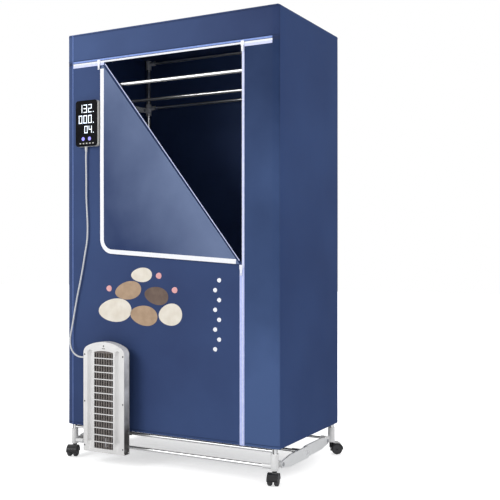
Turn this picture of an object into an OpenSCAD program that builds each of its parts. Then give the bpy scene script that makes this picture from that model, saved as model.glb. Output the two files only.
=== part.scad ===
// Folding cloth-covered drying cabinet on casters, with a hung hot-air blower and a wired controller.
// Millimetres. +Z up, the door faces -Y. The origin is on the floor, under the middle of the whole object.

/* [Cabinet] */
// Outside width of the cloth cover
cab_w = 900; // [896:2:904]
// Outside depth of the cloth cover
cab_d = 514; // [500:2:530]
// Height of the top of the cover above the floor
cab_h = 1600; // [1590:5:1640]
// Height of the cover's lower hem
hem_z = 120; // [118:1:124]
// Thickness of the cloth
cloth_t = 1.5; // [1:0.5:1.5]

/* [Door] */
// Left end of the door opening, from the middle of the cabinet
door_left = -276; // [-290:2:-260]
// Right edge of the door opening, at the vertical zip
door_right = 311; // [300:1:320]
// Top edge of the door opening
door_top = 1482; // [1470:2:1490]
// Lowest point of the door opening, where the flap's fold meets the vertical zip
fold_low_z = 735; // [700:5:760]
// Height of the flap's hanging lower edge at its left corner
flap_low_z = 768; // [760:2:780]
// Radius of the flap's hanging corner
flap_corner_r = 55; // [40:5:60]
// Width of a zip tape
zip_w = 9; // [6:1:12]

/* [Frame] */
// Outside radius of a leg tube
leg_r = 9.5; // [9:0.5:10]
// Distance from the cover's front or rear to a leg's axis
leg_in = 15; // [15:0.5:16]
// Distance from the cover's side to a leg's axis
leg_side_in = 23; // [23:0.5:24]
// Wall of every steel tube
tube_t = 1; // [0.8:0.1:1.2]
// Radius of the top rails
top_rail_r = 6; // [5:0.5:7]
// Radius of the shelf rails and of the hanging rod
shelf_rail_r = 6.5; // [6:0.5:7]
// Radius of the hem, lower and cross rails
base_rail_r = 5.5; // [5:0.5:5.5]
// Height of the top rails
top_rail_z = 1585; // [1580:1:1585]
// Height of the shelf rails
shelf_rail_z = 1394; // [1390:1:1396]
// Height of the hem rails
hem_rail_z = 110; // [108:1:110]

/* [Folding arms] */
// Height of the lower arms' pivots
low_pivot_z = 58; // [58:1:60]
// Height of the upper arms' pivots
high_pivot_z = 1380; // [1378:1:1380]
// Distance from a leg's axis to its pivot
pivot_in = 44; // [44:1:48]
// Thickness of an arm
arm_t = 6; // [5:0.5:6]
// Half height of a lower arm at its ends
low_arm_end = 12; // [11:0.5:12]
// Half height of a lower arm in its middle
low_arm_mid = 21; // [16:1:21]
// Half height of an upper arm
high_arm_end = 10; // [9:0.5:10]
// Radius of the pivot pins
pin_r = 4; // [3.5:0.5:4]

/* [Casters] */
// Radius of a caster wheel
wheel_r = 20.5; // [20:0.5:20.5]
// Width of each of the two wheels of a caster
wheel_w = 14; // [12:1:14]
// Distance from a caster's stem to its axle
caster_trail = 20; // [18:1:20]
// Turn of the casters at rest: front left, front right, rear left, rear right
caster_turns = [20, 15, 239, 121];

/* [Blower] */
// Width of the blower
blower_w = 184; // [180:2:188]
// Height of the blower
blower_h = 402; // [396:2:408]
// Depth of the blower
blower_d = 52; // [52:1:56]
// Gap between the blower and the cloth
blower_gap = 16; // [15:1:18]
// Height of the blower's underside above the floor
blower_z = 47; // [47:1:52]
// Middle of the blower, from the middle of the cabinet
blower_x = -225; // [-235:1:-215]
// Radius of the blower's arched top
blower_arch_r = 170; // [165:1:175]
// Radius of the blower's round shoulders
shoulder_r = 28; // [26:1:30]
// Rows of windows in the blower's front
grille_rows = 14; // [10:1:14]

/* [Controller] */
// Width of the controller
ctrl_w = 102; // [96:2:104]
// Height of the controller
ctrl_h = 172; // [166:2:176]
// Depth of the controller with its face
ctrl_d = 19; // [16:1:20]
// Distance from the cable's exit to the middle of the controller
ctrl_exit = 8; // [4:1:10]
// Diameter of the cable
cable_d = 6; // [5:0.5:6]

/* [Hidden] */
$fn = 48;
fit = 0.05;
lap = 1;
// Layers of the folding arms, from the middle outwards: bracket plate, rear halves, front halves
half_w = cab_w / 2;
cloth_in = half_w - cloth_t;
leg_x = half_w - leg_side_in;
arm_off = 4.5;
front_arm_x = leg_x + arm_off;
rear_arm_x = front_arm_x - lap - arm_t;
plate_x = rear_arm_x - lap - arm_t;
arm_taper = 60;
pin_head_r = 7;
pin_head_t = 1.5;
run_r = pin_r + fit;

// Casters
hood_gap = 1.5;
hood_t = 1.5;
hood_r = wheel_r + hood_gap + hood_t;
web_half = 4;
wheel_gap = 0.7;
caster_half = web_half + wheel_gap + wheel_w + wheel_gap;
axle_r = 3;
stem_r = 4;
stem_top = 62;
socket_z = 46;

// Legs and where the cabinet stands in the whole object's frame
leg_y = cab_d / 2 - leg_in;
front_reach = cab_d / 2 + blower_gap + blower_d;
rear_turn = caster_turns[3];
rear_reach = leg_y - (caster_trail + hood_r) * cos(rear_turn) + caster_half * sin(rear_turn);
y_mid = (front_reach - rear_reach) / 2;
y_front = y_mid - cab_d / 2;
y_rear = y_mid + cab_d / 2;
front_leg_y = y_mid - leg_y;
rear_leg_y = y_mid + leg_y;
front_pivot_y = front_leg_y + pivot_in;
rear_pivot_y = rear_leg_y - pivot_in;
half_arm = leg_y - pivot_in;
leg_low = 66;
leg_top = 1590;
collar_r = 12;
foot_r = 13;
foot_top = 102;
stub_x = 383;

// Cloth
zip_proud = 1;
strip_h = 12;
y_inner = y_front + cloth_t;
y_back_in = y_rear - cloth_t;
port_w = 130;
port_h = 240;
port_x = blower_x - port_w / 2;
port_z = 150;
window_w = 200;
window_h = 185;
window_x = 290;
window_z = 290;
vent_w = 140;
vent_h = 45;
vent_x = 300;
vent_z = 1385;

// Flap
flap_gap = 4;
flap_y = y_front - flap_gap - cloth_t;
flap_left = -288;
flap_tip = [door_left - 2, door_top - 12];
flap_right = [door_right - 6, fold_low_z - 1];

// Blower
y_blow = y_front - blower_gap - blower_d;
y_blow_back = y_front - blower_gap;
shell_split = 30;
shell_t = 2.5;
rear_step = 18;
grille_w = 86;
grille_low = 15;
grille_pitch = 25.3;
bar_h = 3.5;
flute_x = 62;
flute_r = 12;
flute_low = blower_z + 41;
flute_top = blower_z + 360;
rotor_r = 13;
rotor_y = y_blow + 20;
rotor_low = 102;
rotor_top = 392;
shaft_r = 2.5;
motor_r = 15;
motor_foot_r = 8;
motor_low = blower_z + rear_step + shell_t + 1;
screw_rows = [21, 182, 353];
screw_side = blower_w / 2 - 5.5;
inlet_w = 26;
inlet_h = 18;
inlet_x = blower_x + 40;
inlet_z = blower_z + 26;

// Controller and the cable's route: across, in front of the cloth, height
y_ctrl = y_front - ctrl_d;
face_t = 1.5;
gland_h = 20;
cable_r = cable_d / 2;
cable_route = [
    [-352, 10, 1150], [-353, 10, 1135], [-353, 9, 1090], [-353, 8, 1040], [-353, 8, 985],
    [-350, 8, 930], [-347, 8, 875], [-349, 8, 820], [-360, 8, 765], [-371, 8, 710],
    [-384, 8, 655], [-398, 8, 600], [-409, 9, 545], [-418, 11, 495], [-424, 16, 450],
    [-417, 22, 420], [-400, 29, 400], [-378, 36, 389], [-356, 42, 385], [-337, 44, 385]
];
exit_x = cable_route[0][0];
ctrl_x = exit_x + ctrl_exit;
ctrl_z = cable_route[0][2] + gland_h;
cable_steps = 3;
cable_sides = 8;
neck_r = cable_r + 1.45;
blower_left = blower_x - blower_w / 2;
gland_y = y_front - cable_route[len(cable_route) - 1][1];
gland_z = cable_route[len(cable_route) - 1][2];

// ---- Shared shapes ----

// Both sides of the cabinet
module both_sides() {
    children();
    mirror([1, 0, 0]) children();
}

// A cylinder along +X from x0 to x1
module rod_x(r, x0, x1) {
    translate([x0, 0, 0]) rotate([0, 90, 0]) cylinder(r = r, h = x1 - x0);
}

// A steel rail along X, from -reach to +reach
module rail(r, reach) {
    difference() {
        rod_x(r, -reach, reach);
        rod_x(r - tube_t, -reach - 1, reach + 1);
    }
}

// A rectangle with round corners, in the XY plane, centred
module round_rect(w, h, r) {
    square([w - 2 * r, h], center = true);
    square([w, h - 2 * r], center = true);
    for (sx = [-1, 1], sy = [-1, 1])
        translate([sx * (w / 2 - r), sy * (h / 2 - r)]) circle(r = r);
}

// Stands a drawing in XZ up as a plate that runs from y0 to y1
module upright(y0, y1) {
    translate([0, y1, 0]) rotate([90, 0, 0]) linear_extrude(y1 - y0) children();
}

// A flat upright plate from corner to corner
module plate(x0, x1, y0, y1, z0, z1) {
    translate([x0, y0, z0]) cube([x1 - x0, y1 - y0, z1 - z0]);
}

// ---- Frame ----

module legs(y) {
    color("silver") both_sides() translate([leg_x, y, leg_low]) difference() {
        cylinder(r = leg_r, h = leg_top - leg_low);
        translate([0, 0, -1]) cylinder(r = leg_r - tube_t, h = leg_top - leg_low + 2);
    }
}
module front_legs() { legs(front_leg_y); }
module rear_legs() { legs(rear_leg_y); }

module top_rail(y) {
    color("silver") translate([0, y, top_rail_z]) rail(top_rail_r, leg_x - 15);
}
module front_top_rail() { top_rail(front_leg_y); }
module rear_top_rail() { top_rail(rear_leg_y); }

module shelf_rail(y) {
    color("silver") translate([0, y, shelf_rail_z]) rail(shelf_rail_r, leg_x - 17);
}
module front_shelf_rail() { shelf_rail(front_leg_y); }
module rear_shelf_rail() { shelf_rail(rear_leg_y); }

// The hem rail meets the legs, and the lower rail ends in the foot brackets
module base_rails(y) {
    color("silver") {
        difference() {
            translate([0, y, hem_rail_z]) rail(base_rail_r, leg_x - 4);
            both_sides() translate([leg_x, y, leg_low]) cylinder(r = leg_r + fit, h = 60);
        }
        translate([0, y, low_pivot_z]) rail(base_rail_r, stub_x + 20);
    }
}
module front_base_rails() { base_rails(front_leg_y); }
module rear_base_rails() { base_rails(rear_leg_y); }

// Cap on a leg's top, with a socket for the top rail
module top_caps(y) {
    low = 1560;
    color("white") both_sides() translate([0, y, 0]) difference() {
        union() {
            translate([leg_x, 0, low]) cylinder(r = collar_r, h = 37);
            translate([0, 0, top_rail_z]) rod_x(9, leg_x - 34, leg_x - 6);
        }
        translate([leg_x, 0, low - 1]) cylinder(r = leg_r + fit, h = leg_top - low + 1);
        translate([0, 0, top_rail_z]) rod_x(top_rail_r + fit, leg_x - 40, leg_x - 14);
    }
}
module front_top_caps() { top_caps(front_leg_y); }
module rear_top_caps() { top_caps(rear_leg_y); }

// Plate from a leg to its pivot, along the direction dir, with a boss that reaches the arm
module pivot_plate(dir, half, boss_x) {
    reach = dir * pivot_in;
    plate(plate_x, plate_x + arm_t, min(0, reach), max(0, reach), -half, half);
    translate([0, reach, 0]) rod_x(half, plate_x, plate_x + arm_t);
    translate([0, reach, 0]) rod_x(pin_head_r + 2, plate_x, boss_x);
}

// Collar on a leg that carries the shelf rail and an upper arm
module shelf_brackets(y, dir, boss_x) {
    low = 1362;
    high = 1410;
    color("white") both_sides() translate([0, y, 0]) difference() {
        union() {
            translate([leg_x, 0, low]) cylinder(r = collar_r, h = high - low);
            translate([0, 0, shelf_rail_z]) rod_x(9, leg_x - 34, leg_x - 6);
            translate([0, 0, high_pivot_z]) pivot_plate(dir, high_arm_end, boss_x);
        }
        translate([leg_x, 0, low - 1]) cylinder(r = leg_r + fit, h = high - low + 2);
        translate([0, 0, shelf_rail_z]) rod_x(shelf_rail_r + fit, leg_x - 40, leg_x - 14);
        translate([0, dir * pivot_in, high_pivot_z]) rod_x(pin_r, plate_x - 1, boss_x + 1);
    }
}
module front_shelf_brackets() { shelf_brackets(front_leg_y, 1, front_arm_x - 0.5); }
module rear_shelf_brackets() { shelf_brackets(rear_leg_y, -1, rear_arm_x - 0.5); }

// Foot of a leg: socket for the tube and the caster's stem, stub for the lower rail, lower pivot
module foot_brackets(y, dir, boss_x) {
    color("white") both_sides() translate([0, y, 0]) difference() {
        union() {
            translate([leg_x, 0, socket_z]) cylinder(r = foot_r, h = foot_top - socket_z);
            translate([0, 0, low_pivot_z]) rod_x(8.5, stub_x, leg_x - 6);
            translate([0, 0, low_pivot_z]) pivot_plate(dir, low_arm_end, boss_x);
        }
        translate([leg_x, 0, leg_low]) cylinder(r = leg_r + fit, h = foot_top);
        translate([leg_x, 0, socket_z - 1]) cylinder(r = stem_r + fit, h = stem_top - socket_z + 2);
        translate([0, 0, low_pivot_z]) rod_x(base_rail_r + fit, stub_x - 1, stub_x + 21);
        translate([0, dir * pivot_in, low_pivot_z]) rod_x(pin_r, plate_x - 1, boss_x + 1);
    }
}
module front_foot_brackets() { foot_brackets(front_leg_y, 1, front_arm_x - 0.5); }
module rear_foot_brackets() { foot_brackets(rear_leg_y, -1, rear_arm_x - 0.5); }

// Four pivot pins with a head at both ends, through a bracket and an arm whose outer face is at arm_out
module pivot_pins(y, arm_out) {
    color("gray") both_sides() for (z = [low_pivot_z, high_pivot_z]) translate([0, y, z]) {
        rod_x(pin_r, plate_x, arm_out);
        rod_x(pin_head_r, plate_x - pin_head_t, plate_x);
        rod_x(pin_head_r, arm_out, arm_out + pin_head_t);
    }
}
module front_pivot_pins() { pivot_pins(front_pivot_y, front_arm_x + arm_t); }
module rear_pivot_pins() { pivot_pins(rear_pivot_y, rear_arm_x + arm_t); }

// ---- Folding arms ----

// Outline of a half arm in the XY plane, from its leg's pivot along +X to the middle pivot
module arm_outline(end, mid) {
    circle(r = end);
    translate([half_arm, 0]) circle(r = mid);
    polygon([
        [0, end], [arm_taper, mid], [half_arm, mid],
        [half_arm, -mid], [arm_taper, -mid], [0, -end]
    ]);
}

// Hollow of the channel, between its two pivots
module arm_pocket(end, mid) {
    wall = 1.8;
    rim = 14;
    slope = (mid - end) / arm_taper;
    upper = [[rim, end + slope * rim - wall], [arm_taper, mid - wall], [half_arm - rim, mid - wall]];
    polygon(concat(upper, [for (i = [2:-1:0]) [upper[i][0], -upper[i][1]]]));
}

// Half arm as a channel open to the inside, from its leg's pivot at y0 to the middle of the cabinet
module half_arms(y0, z, x0, end, mid, middle_hole_r) {
    skin = 1.8;
    color("white") both_sides() translate([x0, y0, z]) facing(y_mid - y0) difference() {
        rotate([90, 0, 90]) linear_extrude(arm_t) arm_outline(end, mid);
        translate([-1, 0, 0]) rotate([90, 0, 90]) linear_extrude(arm_t - skin + 1) arm_pocket(end, mid);
        rod_x(run_r, -1, arm_t + 1);
        translate([0, half_arm, 0]) rod_x(middle_hole_r, -1, arm_t + 1);
    }
}

// Turns a shape that runs along +Y to run towards -Y where the way is negative
module facing(way) {
    if (way > 0) children();
    else mirror([0, 1, 0]) children();
}
module lower_front_arms() {
    half_arms(front_pivot_y, low_pivot_z, front_arm_x, low_arm_end, low_arm_mid, pin_r);
}
module lower_rear_arms() {
    half_arms(rear_pivot_y, low_pivot_z, rear_arm_x, low_arm_end, low_arm_mid, run_r);
}
module upper_front_arms() {
    half_arms(front_pivot_y, high_pivot_z, front_arm_x, high_arm_end, high_arm_end, pin_r);
}
module upper_rear_arms() {
    half_arms(rear_pivot_y, high_pivot_z, rear_arm_x, high_arm_end, high_arm_end, run_r);
}

// Tube across the cabinet whose ends are the middle pivots of a pair of arms
module middle_tube(r, z, socket_r, socket_x) {
    color("silver") translate([0, y_mid, z]) {
        rail(r, socket_x);
        both_sides() {
            rod_x(socket_r, socket_x, rear_arm_x - 0.5);
            rod_x(pin_r, rear_arm_x - 1, front_arm_x + arm_t);
            rod_x(pin_head_r, front_arm_x + arm_t, front_arm_x + arm_t + pin_head_t);
        }
    }
}
module lower_cross_tube() { middle_tube(base_rail_r, low_pivot_z, 8, 377); }
module hanging_rod() { middle_tube(shelf_rail_r, high_pivot_z, 8.5, 400); }

// ---- Casters ----

// Places a caster under one leg, turned to its resting direction
module at_caster(sx, y, turn) {
    translate([sx * leg_x, y, 0]) rotate([0, 0, turn]) children();
}

// Hood with its stem, web and stub axles; the axle lies towards -Y of the stem
module caster_hood() {
    color("black") difference() {
        union() {
            translate([0, -caster_trail, wheel_r]) difference() {
                rod_x(hood_r, -caster_half, caster_half);
                rod_x(hood_r - hood_t, -caster_half - 1, -web_half);
                rod_x(hood_r - hood_t, web_half, caster_half + 1);
                plate(-caster_half - 1, caster_half + 1, -hood_r - 1, hood_r + 1, -hood_r - 1, -2);
            }
            translate([0, -caster_trail, wheel_r]) rod_x(8, -web_half, web_half);
            translate([0, 0, wheel_r + 6]) cylinder(r = 8, h = hood_r - 6);
            cylinder(r = stem_r, h = stem_top);
        }
        translate([0, 0, -1]) cylinder(r = 30, h = wheel_r - 8);
        translate([0, -caster_trail, wheel_r]) both_sides()
            rod_x(wheel_r + wheel_gap, web_half, caster_half + 1);
    }
    color("silver") translate([0, -caster_trail, wheel_r]) rod_x(axle_r, -caster_half, caster_half);
}

// Twin wheels with rounded treads
module caster_wheels() {
    edge = 3;
    color("dimgray") both_sides()
        translate([web_half + wheel_gap, -caster_trail, wheel_r]) rotate([0, 90, 0]) rotate_extrude()
            polygon([
                [axle_r + fit, 0], [wheel_r - edge, 0], [wheel_r, edge],
                [wheel_r, wheel_w - edge], [wheel_r - edge, wheel_w], [axle_r + fit, wheel_w]
            ]);
}
module caster_hood_fl() { at_caster(-1, front_leg_y, caster_turns[0]) caster_hood(); }
module caster_hood_fr() { at_caster(1, front_leg_y, caster_turns[1]) caster_hood(); }
module caster_hood_rl() { at_caster(-1, rear_leg_y, caster_turns[2]) caster_hood(); }
module caster_hood_rr() { at_caster(1, rear_leg_y, caster_turns[3]) caster_hood(); }
module caster_wheels_fl() { at_caster(-1, front_leg_y, caster_turns[0]) caster_wheels(); }
module caster_wheels_fr() { at_caster(1, front_leg_y, caster_turns[1]) caster_wheels(); }
module caster_wheels_rl() { at_caster(-1, rear_leg_y, caster_turns[2]) caster_wheels(); }
module caster_wheels_rr() { at_caster(1, rear_leg_y, caster_turns[3]) caster_wheels(); }

// ---- Cloth cover ----

module header_panel() {
    color("steelblue") plate(-half_w, half_w, y_front, y_inner, door_top + strip_h, cab_h);
}

// Left part of the front and all of it below the folded door, with the blower's air port
module front_panel() {
    color("steelblue") upright(y_front, y_inner) difference() {
        polygon([
            [-half_w, hem_z], [door_right, hem_z], [door_right, fold_low_z],
            [door_left, door_top], [-half_w, door_top]
        ]);
        translate([blower_x, port_z + port_h / 2]) round_rect(port_w, port_h, 12);
    }
}
module right_panel() {
    color("steelblue") plate(door_right + zip_w, half_w, y_front, y_inner, hem_z, door_top);
}
module top_zip() {
    color("lavender")
        plate(-half_w, half_w, y_front - zip_proud, y_inner, door_top, door_top + strip_h);
}
module side_zip() {
    color("lavender")
        plate(door_right, door_right + zip_w, y_front - zip_proud, y_inner, hem_z, door_top);
}

// Upper corner of the door, folded over along the slanted edge of the opening
module door_flap() {
    corner = [flap_left + flap_corner_r, flap_low_z + flap_corner_r];
    color("lightsteelblue") upright(flap_y, flap_y + cloth_t) polygon(concat(
        [flap_tip, [flap_left, flap_tip[1] - 14]],
        [for (a = [180:10:265]) corner + flap_corner_r * [cos(a), sin(a)]],
        [flap_right]
    ));
}
module side_cover() {
    color("steelblue") plate(cloth_in, half_w, y_inner, y_back_in, hem_z, cab_h - cloth_t);
}
module right_cover() { side_cover(); }
module left_cover() { mirror([1, 0, 0]) side_cover(); }
module top_cover() {
    color("steelblue") plate(-half_w, half_w, y_inner, y_back_in, cab_h - cloth_t, cab_h);
}
module window_outline() {
    translate([window_x, window_z]) round_rect(window_w, window_h, 38);
}
module vent_outline() {
    translate([vent_x, vent_z]) round_rect(vent_w, vent_h, vent_h / 2 - 0.5);
}
module rear_cover() {
    color("steelblue") upright(y_back_in, y_rear) difference() {
        translate([-half_w, hem_z]) square([cab_w, cab_h - hem_z]);
        window_outline();
        vent_outline();
    }
}
module rear_window() {
    color("cornflowerblue") upright(y_back_in, y_back_in + 1) window_outline();
}
module vent_mesh() {
    color("cornflowerblue") upright(y_back_in, y_back_in + 1) vent_outline();
}
module air_port_mesh() {
    color("midnightblue") upright(y_inner - 1, y_inner)
        translate([blower_x, port_z + port_h / 2]) round_rect(port_w, port_h, 12);
}

// Zip slider with its hanging pull, centred on x, its top at z
module slider(x, z) {
    y = y_front - zip_proud - 0.15;
    color("white") {
        plate(x - 6, x + 6, y - 3.5, y, z - 16, z);
        difference() {
            plate(x - 4, x + 4, y - 3, y - 1.5, z - 36, z - 16);
            translate([x, 0, z - 31]) rotate([90, 0, 0]) cylinder(r = 2, h = 600, center = true);
        }
    }
}
module slider_top_left() { slider(-298, door_top + 9); }
module slider_top_right() { slider(door_right + 3, door_top + 9); }
module slider_side() { slider(door_right - 2, fold_low_z - 3); }

// ---- Blower ----

// Front outline of the blower, drawn in by inset; the top is an arc that runs into round shoulders
module blower_outline(inset) {
    spring = blower_z + blower_h - blower_arch_r;
    side = blower_w / 2 - inset;
    shoulder_x = blower_w / 2 - shoulder_r;
    shoulder_z = spring + sqrt(pow(blower_arch_r - shoulder_r, 2) - pow(shoulder_x, 2));
    reach = shoulder_x * (blower_arch_r - inset) / (blower_arch_r - shoulder_r);
    translate([blower_x, 0]) {
        translate([-side, blower_z + inset]) square([2 * side, shoulder_z - blower_z - inset]);
        for (s = [-1, 1]) translate([s * shoulder_x, shoulder_z]) circle(r = shoulder_r - inset);
        intersection() {
            translate([-reach, shoulder_z]) square([2 * reach, blower_arch_r]);
            translate([0, spring]) circle(r = blower_arch_r - inset, $fn = 120);
        }
    }
}

// Windows of the blower's front; the top row follows the arch
module grille_windows() {
    top_arc = 200;
    left = blower_x - grille_w / 2;
    low = blower_z + grille_low;
    for (i = [0:grille_rows - 2])
        translate([left, low + i * grille_pitch]) square([grille_w, grille_pitch - bar_h]);
    intersection() {
        translate([left, low + (grille_rows - 1) * grille_pitch]) square([grille_w, grille_pitch]);
        translate([blower_x, low + grille_rows * grille_pitch - top_arc]) circle(r = top_arc, $fn = 96);
    }
}

// Two deep grooves beside the windows that run out at their lower ends; with a larger radius, their walls
module blower_flutes(r) {
    for (side = [-1, 1]) translate([blower_x + side * flute_x, y_blow - 1, flute_low]) {
        cylinder(r = r, h = flute_top - flute_low);
        sphere(r = r + 0.4);
        rotate([160, 0, 0]) cylinder(r = r, h = 60);
        translate([0, 0, flute_top - flute_low]) sphere(r = r);
    }
}

// Where the housing screws sit, from the blower's lower middle
module at_screws() {
    for (side = [-1, 1], z = screw_rows)
        translate([blower_x + side * screw_side, y_blow, blower_z + z]) rotate([90, 0, 0]) children();
    translate([blower_x, y_blow, blower_z + blower_h - 15]) rotate([90, 0, 0]) children();
}
module blower_front_shell() {
    y_split = y_blow + shell_split;
    color("whitesmoke") difference() {
        upright(y_blow, y_split) blower_outline(0);
        difference() {
            upright(y_blow + shell_t, y_split + 1) blower_outline(shell_t);
            at_screws() translate([0, 0, -shell_split]) cylinder(r = 4, h = shell_split);
            blower_flutes(flute_r + shell_t);
        }
        upright(y_blow - 1, y_blow + shell_t + 1) grille_windows();
        blower_flutes(flute_r);
        at_screws() translate([0, 0, -12]) cylinder(r = 1.5 + fit, h = 13);
        at_screws() translate([0, 0, -1.5]) cylinder(r = 3, h = 3);
        gland_hole();
    }
}

// Narrower rear half; its flange closes the front half, and its outlet reaches through the cloth
module blower_rear_shell() {
    y_split = y_blow + shell_split;
    color("gray") difference() {
        union() {
            upright(y_split, y_split + shell_t) blower_outline(0);
            upright(y_split, y_blow_back) blower_outline(rear_step);
            plate(port_x + 8, port_x + port_w - 8, y_blow_back - 1, y_inner - 3,
                port_z + 8, port_z + port_h - 8);
        }
        upright(y_split - 1, y_blow_back - shell_t) blower_outline(rear_step + shell_t);
        plate(port_x + 11, port_x + port_w - 11, y_blow_back - 9, y_front + 9,
            port_z + 11, port_z + port_h - 11);
        plate(inlet_x, inlet_x + inlet_w, y_blow_back - 9, y_blow_back + 1, inlet_z, inlet_z + inlet_h);
    }
}

// Upright slats behind the windows
module blower_grille() {
    slats = 8;
    rim = 2;
    half_slat = 3;
    pitch = (grille_w + 2 * rim) / slats;
    left = blower_x - grille_w / 2 - rim;
    low = blower_z + grille_low;
    high = low + grille_rows * grille_pitch;
    color("dimgray") difference() {
        upright(y_blow + shell_t, y_blow + shell_t + 1.5) intersection() {
            translate([left - rim, low - 2 * rim]) square([grille_w + 4 * rim, high - low + 2 * rim]);
            blower_outline(shell_t + 1);
        }
        for (i = [0:slats - 1])
            plate(left + i * pitch + half_slat, left + (i + 1) * pitch - half_slat,
                y_blow, y_blow + 9, low, high - 8);
    }
}
module blower_screws() {
    color("dimgray") at_screws() difference() {
        union() {
            translate([0, 0, -11]) cylinder(r = 1.5, h = 10);
            translate([0, 0, -1.5]) cylinder(r = 2.8, h = 1.5);
        }
        translate([-0.4, -2, -0.7]) cube([0.8, 4, 2]);
        translate([-2, -0.4, -0.7]) cube([4, 0.8, 2]);
    }
}

// Two strips that reach under the hem and over the hem rail
module blower_hooks() {
    over = hem_rail_z + base_rail_r + 0.5;
    behind = front_leg_y + base_rail_r + 0.5;
    color("silver") for (side = [-1, 1]) translate([blower_x + side * 50, 0, 0]) {
        plate(-9, 9, y_blow_back, behind + 3, over, over + 3);
        plate(-9, 9, behind, behind + 3, over - 16, over);
        plate(-9, 9, y_blow_back, y_blow_back + 3, over - 20, over);
    }
}

// Cross-flow rotor: discs, blades and a shaft that runs in the motor and in the bush
module fan_rotor() {
    blades = 14;
    color("slategray") translate([blower_x, rotor_y, 0]) {
        for (z = [rotor_low, (rotor_low + rotor_top) / 2, rotor_top - 2])
            translate([0, 0, z]) cylinder(r = rotor_r, h = 2);
        for (i = [0:blades - 1]) rotate([0, 0, i * 360 / blades])
            translate([rotor_r - 4, -0.5, rotor_low]) cube([3.2, 1, rotor_top - rotor_low]);
        translate([0, 0, rotor_low - 18]) cylinder(r = shaft_r, h = rotor_top - rotor_low + 26);
    }
}

// Motor can on a foot that stands on the front half's floor
module fan_motor() {
    floor_z = blower_z + shell_t;
    color("silver") translate([blower_x, rotor_y, 0]) difference() {
        union() {
            translate([0, 0, floor_z]) cylinder(r = motor_foot_r, h = motor_low - floor_z);
            translate([0, 0, motor_low]) cylinder(r = motor_r, h = rotor_low - 2 - motor_low);
        }
        translate([0, 0, rotor_low - 20]) cylinder(r = shaft_r + fit, h = 40);
    }
}
module fan_bush() {
    color("goldenrod") translate([blower_x, rotor_y, 0]) difference() {
        union() {
            translate([0, 0, rotor_top + 1]) cylinder(r = 6, h = 9);
            plate(-5, 5, 4, y_blow_back - shell_t - rotor_y, rotor_top + 3, rotor_top + 8);
        }
        translate([0, 0, rotor_top]) cylinder(r = shaft_r + fit, h = 20);
    }
}

// Heating block in front of the outlet, with fins
module heater() {
    fins = 24;
    low = port_z + 5;
    high = port_z + port_h - 5;
    pitch = (high - low - 8) / fins;
    color("peru") difference() {
        plate(port_x + 5, port_x + port_w - 5, y_blow_back - shell_t - 9, y_blow_back - shell_t, low, high);
        for (i = [0:fins - 1])
            plate(port_x + 13, port_x + port_w - 13, y_blow_back - 20, y_blow_back,
                low + 4 + i * pitch + 1, low + 4 + (i + 1) * pitch - 1);
    }
}

// Socket for a mains lead, with two pins
module mains_inlet() {
    color("black") difference() {
        union() {
            plate(inlet_x + fit, inlet_x + inlet_w - fit, y_blow_back - 16, y_blow_back,
                inlet_z + fit, inlet_z + inlet_h - fit);
            plate(inlet_x - 3, inlet_x + inlet_w + 3, y_blow_back, y_blow_back + 1.5,
                inlet_z - 3, inlet_z + inlet_h + 3);
        }
        plate(inlet_x + 4, inlet_x + inlet_w - 4, y_blow_back - 13, y_blow_back + 9,
            inlet_z + 4, inlet_z + inlet_h - 4);
    }
    color("silver") for (x = [9, 17])
        plate(inlet_x + x - 1, inlet_x + x + 1, y_blow_back - 14, y_blow_back - 3, inlet_z + 7, inlet_z + 11);
}

// ---- Controller and cable ----

module ctrl_outline(inset) {
    translate([ctrl_x, ctrl_z + ctrl_h / 2]) round_rect(ctrl_w - 2 * inset, ctrl_h - 2 * inset, 12 - inset);
}
module controller_body() {
    color("gainsboro") difference() {
        upright(y_ctrl + face_t, y_front) ctrl_outline(0);
        upright(y_ctrl - 1, y_front - 2) ctrl_outline(2);
        translate([exit_x, y_front - cable_route[0][1], ctrl_z - 1]) cylinder(r = neck_r + fit, h = 6);
    }
}
module controller_face() {
    color("black") upright(y_ctrl, y_ctrl + face_t) ctrl_outline(0);
}

// Hole in the blower's side where the cable goes in
module gland_hole() {
    translate([0, gland_y, gland_z]) rod_x(neck_r + fit, blower_left - 1, blower_left + 4);
}

// Tapered strain relief along +Z, which ends in a neck
module cable_gland() {
    rotate_extrude() polygon([
        [0, 0], [cable_r + 0.6, 0], [cable_r + 2.2, gland_h - 2], [cable_r + 2.2, gland_h],
        [neck_r, gland_h], [neck_r, gland_h + 3], [0, gland_h + 3]
    ]);
}

// One strain relief under the controller and one on the blower's side
module cable_glands() {
    color("gainsboro") {
        translate([exit_x, y_front - cable_route[0][1], ctrl_z - gland_h]) cable_gland();
        translate([blower_left - gland_h, gland_y, gland_z]) rotate([0, 90, 0]) cable_gland();
    }
}

// Smooth curve through the route's points, and a tube swept along it
function spot(i) =
    let (k = max(0, min(len(cable_route) - 1, i)))
    [cable_route[k][0], y_front - cable_route[k][1], cable_route[k][2]];
function along(i, t) =
    0.5 * (2 * spot(i) + t * (spot(i + 1) - spot(i - 1))
    + t * t * (2 * spot(i - 1) - 5 * spot(i) + 4 * spot(i + 1) - spot(i + 2))
    + t * t * t * (3 * spot(i) - spot(i - 1) - 3 * spot(i + 1) + spot(i + 2)));
function unit(v) = v / norm(v);
path = [
    for (i = [0:len(cable_route) - 2], s = [0:cable_steps - 1]) along(i, s / cable_steps),
    spot(len(cable_route) - 1)
];
function heading(i) =
    i == 0 ? [0, 0, -1]
    : i == len(path) - 1 ? [1, 0, 0]
    : unit(path[i + 1] - path[i - 1]);
function ring(i) =
    let (t = heading(i), a = unit(cross(t, [0, 1, 0])), b = cross(t, a))
    [
        for (k = [0:cable_sides - 1])
            let (turn = k * 360 / cable_sides)
            path[i] + cable_r * (cos(turn) * a + sin(turn) * b)
    ];
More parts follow.
